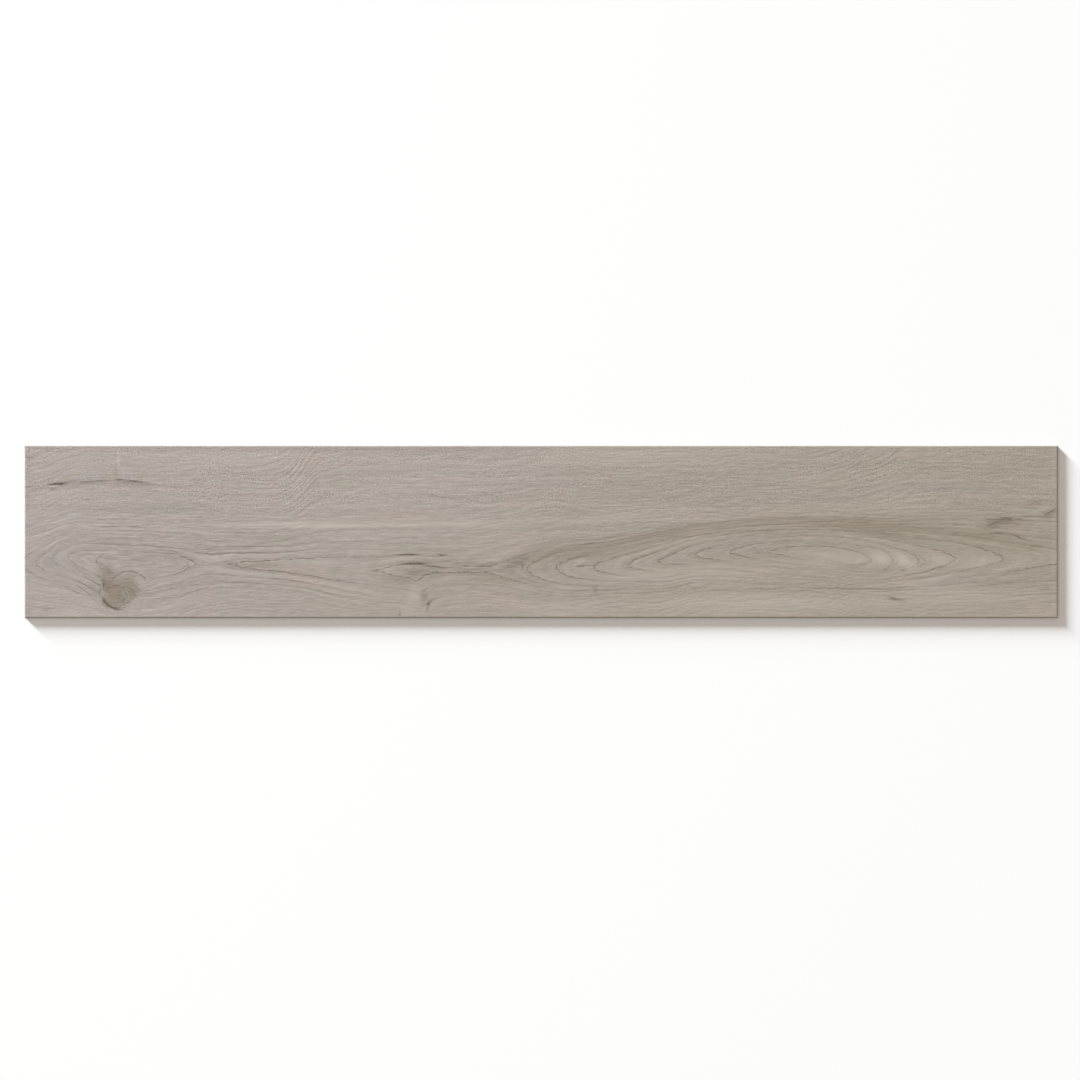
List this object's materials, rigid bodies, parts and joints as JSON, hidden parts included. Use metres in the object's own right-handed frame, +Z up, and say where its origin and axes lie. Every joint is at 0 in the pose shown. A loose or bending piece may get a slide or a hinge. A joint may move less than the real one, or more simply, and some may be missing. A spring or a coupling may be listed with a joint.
{
  "type": "vinyl floor plank",
  "caption": "Flat square-edged vinyl floor plank with a printed wood-grain decor face and a micro-bevel round it, laid glue-down, edge to edge.",
  "frame": {"origin": "middle of the backing, the face that lies on the subfloor", "axes": "+X along the plank's length and the printed grain, +Y across its width, +Z up out of the decor face"},
  "size_m": [0.9144, 0.1524, 0.0025],
  "materials": {
    "printed_vinyl": "grey-beige maple-look print under a matt embossed wear layer, over a filled vinyl core and a plain grey backing"
  },
  "bodies": {
    "root": {"plank": "printed_vinyl"}
  },
  "joints": []
}
